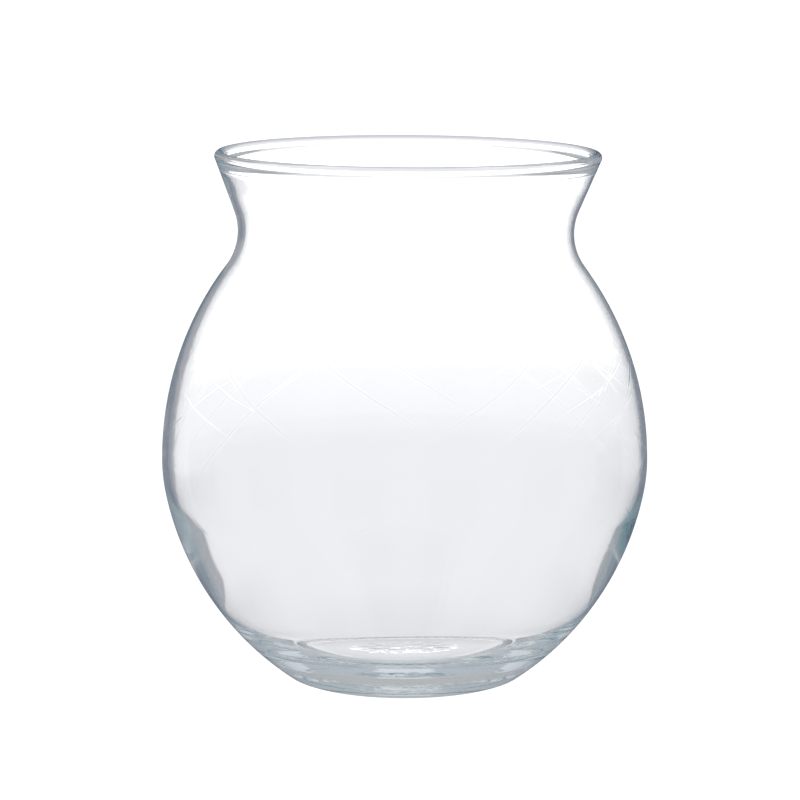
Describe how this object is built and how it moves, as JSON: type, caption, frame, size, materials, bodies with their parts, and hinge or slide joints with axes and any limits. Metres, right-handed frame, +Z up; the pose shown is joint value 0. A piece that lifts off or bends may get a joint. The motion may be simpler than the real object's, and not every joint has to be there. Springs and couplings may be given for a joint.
{
  "type": "rose bowl vase",
  "caption": "Round clear glass vase with a pinched neck, a flared fire-polished lip, a thick heel and a knurled ring to stand on; holds water and cut flowers.",
  "frame": {"origin": "on the table, under the centre of the base", "axes": "+Z up the axis of the bowl; X and Y lie on the table, and the bowl is the same all round"},
  "size_m": [0.1474, 0.1474, 0.1601],
  "materials": {
    "clear_glass": "clear soda-lime glass, smooth from the mould and fire-polished at the lip"
  },
  "bodies": {
    "root": {"glass_bowl": "clear_glass"}
  },
  "joints": []
}
